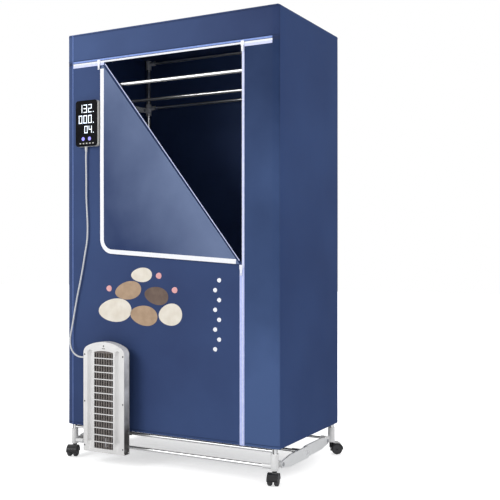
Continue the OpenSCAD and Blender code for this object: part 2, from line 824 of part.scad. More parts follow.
module control_cable() {
    n = cable_sides;
    rings = len(path);
    color("whitesmoke") polyhedron(
        points = [for (i = [0:rings - 1]) each ring(i)],
        faces = [
            [for (k = [0:n - 1]) n - 1 - k],
            for (i = [0:rings - 2], k = [0:n - 1])
                each [
                    [i * n + k, i * n + (k + 1) % n, (i + 1) * n + k],
                    [i * n + (k + 1) % n, (i + 1) * n + (k + 1) % n, (i + 1) * n + k]
                ],
            [for (k = [0:n - 1]) (rings - 1) * n + k]
        ]
    );
}

front_legs();
rear_legs();
front_top_rail();
rear_top_rail();
front_shelf_rail();
rear_shelf_rail();
front_base_rails();
rear_base_rails();
front_top_caps();
rear_top_caps();
front_shelf_brackets();
rear_shelf_brackets();
front_foot_brackets();
rear_foot_brackets();
front_pivot_pins();
rear_pivot_pins();
lower_front_arms();
lower_rear_arms();
upper_front_arms();
upper_rear_arms();
lower_cross_tube();
hanging_rod();
caster_hood_fl();
caster_hood_fr();
caster_hood_rl();
caster_hood_rr();
caster_wheels_fl();
caster_wheels_fr();
caster_wheels_rl();
caster_wheels_rr();
header_panel();
front_panel();
right_panel();
top_zip();
side_zip();
door_flap();
left_cover();
right_cover();
top_cover();
rear_cover();
rear_window();
vent_mesh();
air_port_mesh();
slider_top_left();
slider_top_right();
slider_side();
blower_front_shell();
blower_rear_shell();
blower_grille();
blower_screws();
blower_hooks();
fan_rotor();
fan_motor();
fan_bush();
heater();
mains_inlet();
controller_body();
controller_face();
cable_glands();
control_cable();
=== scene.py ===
import math

import bmesh
import bpy
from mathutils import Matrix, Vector, noise


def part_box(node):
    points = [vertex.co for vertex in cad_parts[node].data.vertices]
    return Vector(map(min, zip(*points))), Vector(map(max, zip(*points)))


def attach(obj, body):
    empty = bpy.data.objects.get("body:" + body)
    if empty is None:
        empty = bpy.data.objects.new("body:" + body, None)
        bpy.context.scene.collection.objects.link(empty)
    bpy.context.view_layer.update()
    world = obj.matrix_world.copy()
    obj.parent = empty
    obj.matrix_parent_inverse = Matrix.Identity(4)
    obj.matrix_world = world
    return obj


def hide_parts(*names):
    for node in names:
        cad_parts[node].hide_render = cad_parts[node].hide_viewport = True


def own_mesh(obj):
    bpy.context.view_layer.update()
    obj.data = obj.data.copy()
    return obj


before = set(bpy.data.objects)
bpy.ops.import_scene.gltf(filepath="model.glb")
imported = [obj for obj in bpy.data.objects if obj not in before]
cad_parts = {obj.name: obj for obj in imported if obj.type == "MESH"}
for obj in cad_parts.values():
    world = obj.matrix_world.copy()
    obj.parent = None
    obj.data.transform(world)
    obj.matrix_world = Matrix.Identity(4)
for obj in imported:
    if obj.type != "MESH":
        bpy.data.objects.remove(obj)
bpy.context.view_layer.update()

MM = 0.001
CLOTH = 1.5 * MM
Y_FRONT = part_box("front_panel")[0][1]
Y_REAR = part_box("rear_cover")[1][1]
Y_MID = (Y_FRONT + Y_REAR) / 2
HALF_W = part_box("header_panel")[1][0]
HEM, DOOR_TOP, HEADER_LOW, TOP = 0.120, 1.482, 1.494, 1.600
CORNER = 9.5 * MM
ROLL = 4 * MM
STEP = 12 * MM
EDGE_FADE = 30 * MM

# The door's slanted fold, from its upper left end to its lower right one, in x and z
FOLD_HIGH = Vector((-0.276, 1.482))
FOLD_LOW = Vector((0.311, 0.735))
SLANT = FOLD_LOW - FOLD_HIGH


# ---- Camera first, then the cord ----

camera_data = bpy.data.cameras.new("camera")
camera_data.lens = 60.6
camera_data.sensor_width = 36
camera = bpy.data.objects.new("camera", camera_data)
camera.location = (1.6918, -2.7303, 0.7822)
camera.rotation_euler = (math.radians(90), 0, math.radians(28.42))
bpy.context.scene.collection.objects.link(camera)
bpy.context.scene.camera = camera

# The cable's route: across, in front of the cloth, height, in millimetres as in part.scad
CABLE_ROUTE = [
    (-352, 10, 1150), (-353, 10, 1135), (-353, 9, 1090), (-353, 8, 1040), (-353, 8, 985),
    (-350, 8, 930), (-347, 8, 875), (-349, 8, 820), (-360, 8, 765), (-371, 8, 710),
    (-384, 8, 655), (-398, 8, 600), (-409, 9, 545), (-418, 11, 495), (-424, 16, 450),
    (-417, 22, 420), (-400, 29, 400), (-378, 36, 389), (-356, 42, 385), (-337, 44, 385),
]
CABLE_D = 6 * MM


def link(name, data):
    obj = bpy.data.objects.new(name, data)
    bpy.context.scene.collection.objects.link(obj)
    return obj


def smooth_route(points, steps):
    """Catmull-Rom curve through points, as part.scad sweeps its tube."""
    pts = [Vector(p) for p in points]
    pts = [2 * pts[0] - pts[1]] + pts + [2 * pts[-1] - pts[-2]]
    line = []
    for i in range(1, len(pts) - 2):
        a, b, c, d = pts[i - 1:i + 3]
        for k in range(steps):
            t = k / steps
            line.append(0.5 * (2 * b + (c - a) * t + (2 * a - 5 * b + 4 * c - d) * t * t
                               + (3 * b - a - 3 * c + d) * t ** 3))
    return line + [pts[-2]]


route = [Vector((x * MM, Y_FRONT - f * MM, z * MM)) for x, f, z in CABLE_ROUTE]
cable_line = smooth_route(route, 3)
cable_curve = bpy.data.curves.new("control_cable_sheath", "CURVE")
cable_curve.dimensions = "3D"
cable_curve.bevel_depth = CABLE_D / 2
cable_curve.bevel_resolution = 4
spline = cable_curve.splines.new("POLY")
spline.points.add(len(cable_line) - 1)
for point, where in zip(spline.points, cable_line):
    point.co = (*where, 1)
cable = link("control_cable_sheath", cable_curve)


# ---- Materials ----

def math_node(tree, operation, first, second):
    """Maths on two outputs."""
    node = tree.nodes.new("ShaderNodeMath")
    node.operation = operation
    tree.links.new(first, node.inputs[0])
    tree.links.new(second, node.inputs[1])
    return node.outputs["Value"]


def reach_along(tree, vector, way):
    """How far a vector reaches along a direction."""
    node = tree.nodes.new("ShaderNodeVectorMath")
    node.operation = "DOT_PRODUCT"
    node.inputs[1].default_value = way
    tree.links.new(vector, node.inputs[0])
    return node.outputs["Value"]


def ranged(tree, value, start, end, low, high):
    """Value from start to end, mapped onto low to high and held there."""
    node = tree.nodes.new("ShaderNodeMapRange")
    for key, number in (("From Min", start), ("From Max", end), ("To Min", low), ("To Max", high)):
        node.inputs[key].default_value = number
    tree.links.new(value, node.inputs["Value"])
    return node.outputs["Result"]


def material(name, dark, light, rough=(0.45, 0.6), grain=40.0, metallic=0.0, bump=0.1, bump_m=0.0002,
             stretch=(1, 1, 1), weave=0.0, painted_shade_drift=None, painted_reflection_bands=None, **sockets):
    """Principled surface whose colour and roughness vary with noise; weave is a thread pitch in metres.

    painted_shade_drift is (direction, start, end): painted light and shade, the colour going from dark to light
    between two places along it.
    painted_reflection_bands is two directions across a tube: a painted reflection, the colour dark half way
    between them, as on polished chrome.
    """
    mat = bpy.data.materials.new(name)
    mat.use_nodes = True
    tree = mat.node_tree
    new, join = tree.nodes.new, tree.links.new
    shader = tree.nodes["Principled BSDF"]
    shader.inputs["Metallic"].default_value = metallic
    for key, value in sockets.items():
        shader.inputs[key.replace("_", " ")].default_value = value
    place = new("ShaderNodeTexCoord")
    mapping = new("ShaderNodeMapping")
    mapping.inputs["Scale"].default_value = stretch
    join(place.outputs["Object"], mapping.inputs["Vector"])
    cloud = new("ShaderNodeTexNoise")
    cloud.inputs["Scale"].default_value = grain
    cloud.inputs["Detail"].default_value = 5
    join(mapping.outputs["Vector"], cloud.inputs["Vector"])

    mix, stops = cloud.outputs["Fac"], (0.32, 0.68)
    # Painted light and shade along a direction, and painted reflection bands across tubes, shift the colour
    # here
    if painted_shade_drift:
        way, start, end = painted_shade_drift
        slope = ranged(tree, reach_along(tree, place.outputs["Object"], way), start, end, -0.30, 0.30)
        mix, stops = math_node(tree, "ADD", mix, slope), (0.15, 0.85)
    elif painted_reflection_bands:
        first, second = [reach_along(tree, place.outputs["Normal"], way) for way in painted_reflection_bands]
        both = math_node(tree, "MULTIPLY", first, second)
        between = math_node(tree, "MULTIPLY", both, both)
        mix, stops = math_node(tree, "ADD", mix, ranged(tree, between, 0.15, 0.24, 0.30, -0.30)), (0.15, 0.75)
    ramp = new("ShaderNodeValToRGB")
    for element, stop, colour in zip(ramp.color_ramp.elements, stops, (dark, light)):
        element.position = stop
        element.color = (*colour, 1)
    join(mix, ramp.inputs["Fac"])
    join(ramp.outputs["Color"], shader.inputs["Base Color"])
    join(ranged(tree, cloud.outputs["Fac"], 0, 1, *rough), shader.inputs["Roughness"])

    height = cloud.outputs["Fac"]
    if weave:
        threads = []
        for axis in "XYZ":
            wave = new("ShaderNodeTexWave")
            wave.bands_direction = axis
            wave.inputs["Scale"].default_value = 0.314159 / weave
            wave.inputs["Distortion"].default_value = 0.3
            join(place.outputs["Object"], wave.inputs["Vector"])
            threads.append(wave.outputs["Fac"])
        height = math_node(tree, "ADD", math_node(tree, "ADD", threads[0], threads[1]), threads[2])
    relief = new("ShaderNodeBump")
    relief.inputs["Strength"].default_value = bump
    relief.inputs["Distance"].default_value = bump_m
    join(height, relief.inputs["Height"])
    join(relief.outputs["Normal"], shader.inputs["Normal"])
    return mat


CLOTH_LOOK = dict(rough=(0.5, 0.62), grain=2.2, weave=1.1 * MM, bump=0.35, Sheen_Weight=0.02,
                  Sheen_Roughness=0.4, Specular_IOR_Level=0.15)
PRINT_LOOK = dict(grain=30, weave=1.1 * MM)
NET_LOOK = dict(grain=60, weave=1.6 * MM, bump=0.6)
# The dark colour here is the painted reflection band of the steel tubes
TUBE_LOOK = dict(dark=(0.16, 0.155, 0.15), light=(0.94, 0.945, 0.95), rough=(0.16, 0.26), grain=60,
                 metallic=0.7, bump=0.06, bump_m=0.0001, Anisotropic=0.4)
SHINE = dict(bump=0.05, Coat_Weight=0.2, Coat_Roughness=0.1)

navy = material("navy_cloth", (0.028, 0.050, 0.140), (0.041, 0.074, 0.190), **CLOTH_LOOK)
# Painted light and shade: the header cloth is lighter to the left and darker to the right
navy_header = material("navy_cloth_header", (0.018, 0.034, 0.104), (0.056, 0.096, 0.232),
                       painted_shade_drift=((-1, 0, 0), -0.44, 0.44), **CLOTH_LOOK)
navy_side = material("navy_cloth_side", (0.027, 0.052, 0.150), (0.040, 0.074, 0.196),
                     **dict(CLOTH_LOOK, Sheen_Weight=0.0, Specular_IOR_Level=0.04))
# Painted shade: the front's right strip is darker high up and lighter towards the hem
navy_strip = material("navy_cloth_strip", (0.004, 0.018, 0.070), (0.060, 0.106, 0.250),
                      painted_shade_drift=((0, 0, -1), -1.5, -0.3), **CLOTH_LOOK)
navy_dark = material("navy_seam", (0.014, 0.025, 0.072), (0.022, 0.037, 0.098), **CLOTH_LOOK)
# Painted sheen and shade: the folded door corner is lighter near the fold and darker towards its lower left
# corner
flap_blue = material("flap_cloth", (0.002, 0.017, 0.088), (0.148, 0.198, 0.339),
                     painted_shade_drift=((0.85, 0, 0.52), 0.26, 0.58), **CLOTH_LOOK)
trim_white = material("trim_white", (0.86, 0.88, 0.94), (0.93, 0.94, 0.98), grain=120, weave=0.8 * MM)
tape = material("zip_tape", (0.46, 0.53, 0.90), (0.56, 0.62, 0.95), grain=90, weave=0.7 * MM)
tape_pale = material("zip_tape_pale", (0.58, 0.63, 0.93), (0.70, 0.74, 0.97), grain=90, weave=0.7 * MM)
teeth_white = material("zip_teeth", (0.78, 0.80, 0.90), (0.88, 0.90, 0.96), (0.25, 0.35), 200)
piping_blue = material("piping_blue", (0.16, 0.26, 0.62), (0.22, 0.33, 0.72), grain=150, weave=0.6 * MM)
# Painted reflection: the steel is dark where a tube's surface faces half way between the given directions, as
# on chrome
steel_x = material("steel_along_x", stretch=(0.02, 1, 1), painted_reflection_bands=((0, 1, 0), (0, 0, 1)), **TUBE_LOOK)
steel_z = material("steel_along_z", stretch=(1, 1, 0.02), painted_reflection_bands=((0.707, 0.707, 0), (0.707, -0.707, 0)),
                   **TUBE_LOOK)
rivet = material("rivet_steel", (0.34, 0.35, 0.37), (0.50, 0.51, 0.53), (0.25, 0.4), 150, 1.0)
white_plastic = material("white_plastic", (0.80, 0.80, 0.80), (0.86, 0.86, 0.86), (0.25, 0.35), 300, **SHINE)
# Painted shade: the blower's white shell is darker towards the floor
blower_white = material("blower_white", (0.66, 0.655, 0.65), (0.80, 0.795, 0.79), (0.25, 0.35), 14,
                        painted_shade_drift=((0, 0, 1), 0.0, 0.45), **SHINE)
# Painted reflection and shade: the blower's sides go from near black low down to near white towards the top
blower_side = material("blower_side", (0.055, 0.052, 0.050), (0.90, 0.895, 0.89), (0.2, 0.3), 12,
                       painted_shade_drift=((0, 0, 1), 0.10, 0.42), **SHINE)
white_paint = material("white_paint", (0.78, 0.79, 0.80), (0.85, 0.86, 0.87), (0.3, 0.42), 180, bump=0.12)
caster_black = material("caster_plastic", (0.004, 0.004, 0.005), (0.014, 0.014, 0.016), (0.12, 0.22), 160,
                        Specular_IOR_Level=0.35, **dict(SHINE, Coat_Roughness=0.06))
tread_black = material("caster_tread", (0.02, 0.02, 0.022), (0.05, 0.05, 0.055), (0.45, 0.6), 260)
blower_grey = material("blower_grey", (0.10, 0.10, 0.105), (0.20, 0.20, 0.205), (0.35, 0.5), 9)
grille_dark = material("grille_dark", (0.035, 0.028, 0.025), (0.075, 0.062, 0.055), (0.5, 0.65), 140)
grille_brown = material("grille_brown", (0.10, 0.085, 0.078), (0.19, 0.168, 0.158), (0.45, 0.6), 120)
screw_black = material("screw_steel", (0.04, 0.04, 0.045), (0.10, 0.10, 0.11), (0.25, 0.4), 300, 1.0)
rotor_black = material("rotor_plastic", (0.03, 0.03, 0.033), (0.07, 0.07, 0.075), (0.4, 0.55), 140)
zinc = material("motor_zinc", (0.45, 0.46, 0.48), (0.60, 0.61, 0.63), (0.3, 0.45), 120, 1.0)
brass = material("bush_brass", (0.55, 0.38, 0.14), (0.75, 0.56, 0.25), (0.3, 0.45), 160, 1.0)
fins = material("heater_fins", (0.48, 0.46, 0.43), (0.66, 0.64, 0.60), (0.35, 0.5), 120, 1.0)
beige_grey = material("controller_grey", (0.50, 0.49, 0.46), (0.60, 0.59, 0.56), (0.4, 0.5), 260, bump=0.15)
gloss_black = material("display_glass", (0.002, 0.002, 0.003), (0.006, 0.006, 0.008), (0.22, 0.32), 30,
                       bump=0.02, Specular_IOR_Level=0.04)
cable_grey = material("cable_sheath", (0.55, 0.56, 0.58), (0.68, 0.69, 0.71), (0.45, 0.6), 220, bump=0.15)
film_blue = material("window_film", (0.16, 0.28, 0.88), (0.24, 0.38, 0.98), (0.12, 0.25), 12)
net_blue = material("vent_net", (0.14, 0.24, 0.70), (0.22, 0.34, 0.85), **NET_LOOK)
net_dark = material("port_net", (0.02, 0.03, 0.08), (0.05, 0.07, 0.14), **NET_LOOK)
print_cream = material("print_cream", (0.72, 0.66, 0.56), (0.82, 0.77, 0.68), **PRINT_LOOK)
print_tan = material("print_tan", (0.36, 0.24, 0.15), (0.46, 0.32, 0.21), **PRINT_LOOK)
print_brown = material("print_brown", (0.10, 0.06, 0.045), (0.15, 0.10, 0.075), **PRINT_LOOK)
print_pink = material("print_pink", (0.72, 0.34, 0.34), (0.80, 0.42, 0.42), **PRINT_LOOK)
digit_white = material("lit_digits", (0.80, 0.88, 1.0), (0.92, 0.96, 1.0), (0.4, 0.5), 50,
                       Emission_Color=(0.85, 0.92, 1.0, 1), Emission_Strength=0.8)
icon_violet = material("lit_icons", (0.22, 0.20, 0.75), (0.32, 0.30, 0.90), (0.4, 0.5), 50,
                       Emission_Color=(0.25, 0.22, 0.85, 1), Emission_Strength=0.6)

cable.data.materials.append(cable_grey)
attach(cable, "front_frame")
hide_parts("control_cable")


# ---- Mesh helpers ----

def piece(name, bm, mat, body, smooth=True):
    """Turns a finished mesh into a named piece that rides on a body."""
    bmesh.ops.remove_doubles(bm, verts=bm.verts, dist=1e-6)
    bmesh.ops.recalc_face_normals(bm, faces=bm.faces)
    data = bpy.data.meshes.new(name)
    bm.to_mesh(data)
    bm.free()
    for face in data.polygons:
        face.use_smooth = smooth
    data.materials.append(mat)
    obj = link(name, data)
    if smooth:
        obj.data.set_sharp_from_angle(angle=math.radians(35))
    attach(obj, body)
    return obj


def thicken(bm, depth, axis=None, way=1):
    """Gives an open sheet its thickness, on the side that its normals leave.

    With an axis and a way along it, the sheet's outermost place stays where it was.
    """
    bmesh.ops.recalc_face_normals(bm, faces=bm.faces)
    before = max(v.co[axis or 0] * way for v in bm.verts)
    bmesh.ops.solidify(bm, geom=bm.faces[:], thickness=depth)
    if axis is not None:
        move = before - max(v.co[axis] * way for v in bm.verts)
        for v in bm.verts:
            v.co[axis] += way * move


def spaced(a, b, step):
    """Numbers from a to b, about a step apart."""
    n = max(1, round(abs(b - a) / step))
    return [a + (b - a) * i / n for i in range(n + 1)]


def arc(cx, cy, r, start, end, n=6):
    angles = [math.radians(start + (end - start) * i / n) for i in range(n + 1)]
    return [(cx + r * math.cos(a), cy + r * math.sin(a)) for a in angles]


def outward(points, i):
    """Direction to the right of a plan path at its point i."""
    along = points[min(i + 1, len(points) - 1)] - points[max(i - 1, 0)]
    return Vector((along.y, -along.x)).normalized()


def sheet_from_rows(rows):
    """Open sheet through rows of points."""
    bm = bmesh.new()
    made = [[bm.verts.new(p) for p in row] for row in rows]
    for low, high in zip(made, made[1:]):
        for i in range(len(low) - 1):
            bm.faces.new((low[i], low[i + 1], high[i + 1], high[i]))
    return bm


def cut_sheet(bm, where, normal, clear=False):
    """Cuts a sheet along a plane, and with clear takes off what lies past it."""
    bmesh.ops.bisect_plane(bm, geom=bm.verts[:] + bm.edges[:] + bm.faces[:], plane_co=where, plane_no=normal,
                           clear_outer=clear)


def ruffle(s, z, amount):
    """Shallow waves of stretched cloth, outward only."""
    wave = noise.noise(Vector((s * 5.0, z * 1.3, 0.7))) + 0.4 * noise.noise(Vector((s * 16.0, z * 3.1, 4.2)))
    return amount * max(0.0, 0.5 + 0.5 * wave)


def wall(name, path, profile, mat, body, amount=0.0, cut=None, hole=None):
    """Cloth wall and its area: a plan path, outward side to the right, raised along (inset, height) pairs.

    Its waves are up to amount high, and fade out towards the path's start and the wall's foot and top.
    """
    points = [Vector(p) for p in path]
    rows = []
    for inset, z in profile:
        row, run = [], 0.0
        for i, p in enumerate(points):
            run += (p - points[max(i - 1, 0)]).length
            edge = min(1.0, run / EDGE_FADE, (z - profile[0][1]) / EDGE_FADE,
                       max(0.0, profile[-1][1] - z) / EDGE_FADE)
            q = p + outward(points, i) * (ruffle(run, z, amount) * max(0.0, edge) - inset)
            row.append((q.x, q.y, z))
        rows.append(row)
    bm = sheet_from_rows(rows)
    if hole:
        x0, x1, z0, z1 = hole
        inside = [f for f in bm.faces
                  if x0 < f.calc_center_median().x < x1 and z0 < f.calc_center_median().z < z1]
        bmesh.ops.delete(bm, geom=inside, context="FACES")
    if cut:
        cut_sheet(bm, *cut, clear=True)
    area = sum(f.calc_area() for f in bm.faces)
    thicken(bm, CLOTH)
    return piece(name, bm, mat, body), area


def prism(outline, y, depth):
    """Mesh with its outline in x and z, from y backwards by depth."""
    bm = bmesh.new()
    face = bm.faces.new([bm.verts.new((x, y, z)) for x, z in outline])
    grown = bmesh.ops.extrude_face_region(bm, geom=[face])
    moved = [v for v in grown["geom"] if isinstance(v, bmesh.types.BMVert)]
    bmesh.ops.translate(bm, verts=moved, vec=(0, depth, 0))
    return bm


def flat_shape(name, outline, y, depth, mat, body):
    """Plate of such an outline, with flat faces."""
    return piece(name, prism(outline, y, depth), mat, body, False)


def tube(name, points, r, mat, body, sides=8):
    """Tube round a line of points."""
    pts = [Vector(p) for p in points]
    turns = [2 * math.pi * k / sides for k in range(sides)]
    bm = bmesh.new()
    rings = []
    for i, p in enumerate(pts):
        t = (pts[min(i + 1, len(pts) - 1)] - pts[max(i - 1, 0)]).normalized()
        u = t.cross(Vector((0, 1, 0)))
        if u.length < 0.1:
            u = t.cross(Vector((0, 0, 1)))
        u.normalize()
        v = t.cross(u)
        rings.append([bm.verts.new(p + r * (math.cos(a) * u + math.sin(a) * v)) for a in turns])
    for a, b in zip(rings, rings[1:]):
        for k in range(sides):
            bm.faces.new((a[k], a[(k + 1) % sides], b[(k + 1) % sides], b[k]))
    bm.faces.new(rings[0])
    bm.faces.new(rings[-1])
    return piece(name, bm, mat, body)


def blocks(name, boxes, mat, body):
    """One piece of many small blocks, each (low corner, high corner)."""
    bm = bmesh.new()
    for low, high in boxes:
        v = [bm.verts.new((x, y, z)) for x in (low[0], high[0]) for y in (low[1], high[1])
             for z in (low[2], high[2])]
        for f in ((0, 1, 3, 2), (4, 6, 7, 5), (0, 4, 5, 1), (2, 3, 7, 6), (0, 2, 6, 4), (1, 5, 7, 3)):
            bm.faces.new([v[i] for i in f])
    bmesh.ops.bevel(bm, geom=bm.edges[:], offset=0.15 * MM, segments=1, affect="EDGES")
    return piece(name, bm, mat, body, False)


# ---- Cloth walls ----

ZIP_LEFT, ZIP_RIGHT = 0.311, 0.320

# From the ridge over a leg the cloth falls back a little before it turns the corner
FRONT_STRAIGHT = HALF_W - 26.5 * MM
right_corner = [(HALF_W - a * MM, Y_FRONT + b * MM) for a, b in
                ((26.5, 0), (22.5, 0.4), (18, 1.4), (12, 2.8), (5.5, 4.3), (2.2, 5.4), (0.7, 7), (0, 9.5))]
left_corner = [(-x, y) for x, y in reversed(right_corner)]
across = [(x, Y_FRONT) for x in spaced(-FRONT_STRAIGHT, FRONT_STRAIGHT, STEP)][1:-1]
front_path = left_corner + across + right_corner


def right_from(start):
    """Front path from start, in x, to the end of the right corner."""
    return [(x, Y_FRONT) for x in spaced(start, FRONT_STRAIGHT, STEP)][:-1] + right_corner


def rolled_profile(low, step):
    """Upright from low to the top, where the cloth rolls inward."""
    roll = [(ROLL * (1 - math.cos(a)), TOP - ROLL + ROLL * math.sin(a))
            for a in [math.radians(d) for d in (0, 30, 60, 90)]]
    return [(0, z) for z in spaced(low, TOP - ROLL, step)][:-1] + roll


header, _ = wall("header_cloth", front_path, rolled_profile(HEADER_LOW, STEP), navy_header, "front_frame",
                 0.6 * MM)
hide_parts("header_panel")

backing, _ = wall("zip_backing_cloth", front_path, [(0, z) for z in spaced(DOOR_TOP, HEADER_LOW, 6 * MM)],
                  navy_dark, "front_frame")

PORT = (-0.290, -0.160, 0.150, 0.390)
xs = sorted({round(x, 6) for x in spaced(-FRONT_STRAIGHT, ZIP_LEFT, STEP)} | set(PORT[:2]))
zs = sorted({round(z, 6) for z in spaced(HEM, DOOR_TOP, STEP)} | set(PORT[2:]))
panel, panel_area = wall(
    "front_cloth", left_corner + [(x, Y_FRONT) for x in xs][1:], [(0, z) for z in zs], navy, "front_frame",
    0.8 * MM, ((FOLD_HIGH.x, 0, FOLD_HIGH.y), (-SLANT.y, 0, SLANT.x)), PORT)
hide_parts("front_panel")

right_strip, _ = wall("front_right_cloth", right_from(ZIP_RIGHT),
                      [(0, z) for z in spaced(HEM, DOOR_TOP, 14 * MM)], navy_strip, "front_frame", 0.8 * MM)
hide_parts("right_panel")

side_profile = rolled_profile(HEM, 16 * MM)

# Right and left side covers, each on a mesh of its own
for side, name in ((1, "right"), (-1, "left")):
    ys = spaced(Y_FRONT + CORNER, Y_REAR - CORNER, STEP)
    path = [(side * HALF_W, y) for y in (ys if side > 0 else reversed(ys))]
    cover, _ = wall(name + "_side_cloth", path, side_profile, navy_side, "front_frame", 1.6 * MM)
    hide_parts(name + "_cover")
    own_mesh(cover)

top_bm = sheet_from_rows(
    [[(x, y, TOP - 1.0 * MM * math.sin(math.pi * (y - Y_FRONT) / (Y_REAR - Y_FRONT)) ** 2)
      for x in spaced(-HALF_W + ROLL, HALF_W - ROLL, 20 * MM)]
     for y in spaced(Y_FRONT + ROLL, Y_REAR - ROLL, 20 * MM)])
thicken(top_bm, CLOTH, 2)
top = piece("top_cloth", top_bm, navy, "front_frame")
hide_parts("top_cover")
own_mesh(top)

rear_path = ([(x, -y + 2 * Y_MID) for x, y in reversed(right_corner)]
             + [(x, Y_REAR) for x in spaced(FRONT_STRAIGHT, -FRONT_STRAIGHT, STEP)][1:-1]
             + [(x, -y + 2 * Y_MID) for x, y in reversed(left_corner)])
rear, _ = wall("rear_cloth", rear_path, side_profile, navy, "rear_frame", 0.8 * MM)
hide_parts("rear_cover")


# ---- Zips ----

TOOTH_PITCH, HALF_TOOTH = 3.2 * MM, 0.9 * MM
SHUT_WIDE, OPEN_WIDE = 2.6 * MM, 1.6 * MM
STRIP_LEFT, STRIP_RIGHT = -0.421, 0.426
TAPE_LOW, TAPE_HIGH, TOP_TEETH_Z = 1.471, 1.4805, 1.4825
SIDE_TEETH_X, SIDE_OPEN_X, SIDE_OPEN_Z = 0.314, 0.3118, 0.722
ZIP_Y = Y_FRONT - 1 * MM


def teeth_row(name, start, end, wide):
    """Teeth of a zip along a straight line in x and z."""
    a, b = Vector(start), Vector(end)
    along = (b - a).normalized()
    half_x, half_z = (HALF_TOOTH, wide / 2) if abs(along.x) > 0.5 else (wide / 2, HALF_TOOTH)
    boxes = []
    for i in range(int((b - a).length / TOOTH_PITCH)):
        c = a + along * TOOTH_PITCH * (i + 0.5)
        boxes.append(((c.x - half_x, ZIP_Y - 0.8 * MM, c.y - half_z),
                      (c.x + half_x, ZIP_Y + 0.6 * MM, c.y + half_z)))
    return blocks(name, boxes, teeth_white, "front_frame")


def strip(name, x0, x1, z0, z1, mat, y=ZIP_Y, depth=1.4 * MM, body="front_frame"):
    """Straight band of tape."""
    return flat_shape(name, [(x0, z0), (x1, z0), (x1, z1), (x0, z1)], y, depth, mat, body)


upper = strip("top_zip_tape", STRIP_LEFT, STRIP_RIGHT, TAPE_HIGH, 1.4868, trim_white)
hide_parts("top_zip")
strip("top_zip_tape_left", STRIP_LEFT, FOLD_HIGH.x, TAPE_LOW, TAPE_HIGH, tape_pale)
strip("top_zip_tape_right", ZIP_LEFT, STRIP_RIGHT, TAPE_LOW, TAPE_HIGH, tape_pale)
strip("top_zip_cover_seam", STRIP_LEFT, STRIP_RIGHT, 1.4888, 1.4952, piping_blue)
teeth_row("top_zip_teeth_left", (STRIP_LEFT, TOP_TEETH_Z), (-0.300, TOP_TEETH_Z), SHUT_WIDE)
teeth_row("top_zip_teeth_right", (0.322, TOP_TEETH_Z), (0.428, TOP_TEETH_Z), SHUT_WIDE)
teeth_row("top_zip_teeth_open", (-0.286, TOP_TEETH_Z), (0.305, TOP_TEETH_Z), OPEN_WIDE)
lower = strip("side_zip_tape", 0.302, ZIP_RIGHT, HEM, SIDE_OPEN_Z, tape)
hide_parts("side_zip")
strip("side_zip_tape_open", ZIP_LEFT, ZIP_RIGHT, SIDE_OPEN_Z, DOOR_TOP, tape_pale)
teeth_row("side_zip_teeth", (SIDE_TEETH_X, HEM + 4 * MM), (SIDE_TEETH_X, 0.694), SHUT_WIDE)
teeth_row("side_zip_teeth_open", (SIDE_OPEN_X, 0.758), (SIDE_OPEN_X, 1.470), OPEN_WIDE)
# Light blue line on the cloth's ridge over the front-left leg: a real ridge, with a painted highlight for its
# light colour
tube("front_left_ridge_highlight", [(-0.4235, Y_FRONT - 0.5 * MM, z) for z in spaced(HEM, 1.598, 20 * MM)], 1.2 * MM,
     piping_blue, "front_frame")


def seam(name, path, z, body):
    """Raised line of stitching round a wall of cloth."""
    points = [Vector(p) for p in path]
    line = [(*(p + outward(points, i) * 0.5 * MM), z) for i, p in enumerate(points)]
    return tube(name, line, 0.8 * MM, navy_dark, body, sides=6)


HEM_SEAM, TOP_SEAM = HEM + 9 * MM, TOP - 7 * MM
left_of_zip = [p for p in left_corner + across if p[0] < 0.300]
seam("hem_seam_front", left_of_zip, HEM_SEAM, "front_frame")
seam("hem_seam_right", right_from(ZIP_RIGHT + 2 * MM), HEM_SEAM, "front_frame")
seam("hem_seam_rear", rear_path, HEM_SEAM, "rear_frame")
seam("header_seam", front_path, 1.498, "front_frame")
seam("top_seam_front", front_path, TOP_SEAM, "front_frame")
seam("top_seam_rear", rear_path, TOP_SEAM, "rear_frame")


# ---- Rear face: strip, zip, and the openings of the window and of the vent ----

WINDOW_CORNER = 38 * MM


def round_outline(node, grow=0.0):
    """Outline of a rounded plate in x and z, from its box."""
    low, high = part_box(node)
    r = min(WINDOW_CORNER, (high[2] - low[2]) / 2 - 0.5 * MM)
    line = []
    for cx, cz, start in ((high[0] - r, high[2] - r, 0), (low[0] + r, high[2] - r, 90),
                          (low[0] + r, low[2] + r, 180), (high[0] - r, low[2] + r, 270)):
        line += arc(cx, cz, r + grow, start, start + 90, 8)
    return line


def punch(obj, outline, y, depth):
    """Cuts the outline, in x and z, out of a thickened sheet."""
    bm = prism(outline, y, depth)
    bmesh.ops.recalc_face_normals(bm, faces=bm.faces)
    data = bpy.data.meshes.new("cutter")
    bm.to_mesh(data)
    bm.free()
    cutter = link("cutter", data)
    cut = obj.modifiers.new("punch", "BOOLEAN")
    cut.operation, cut.solver, cut.object = "DIFFERENCE", "EXACT", cutter
    bpy.context.view_layer.update()
    shown = obj.evaluated_get(bpy.context.evaluated_depsgraph_get())
    obj.data = bpy.data.meshes.new_from_object(shown)
    obj.modifiers.clear()
    bpy.data.objects.remove(cutter)
    bpy.data.meshes.remove(data)


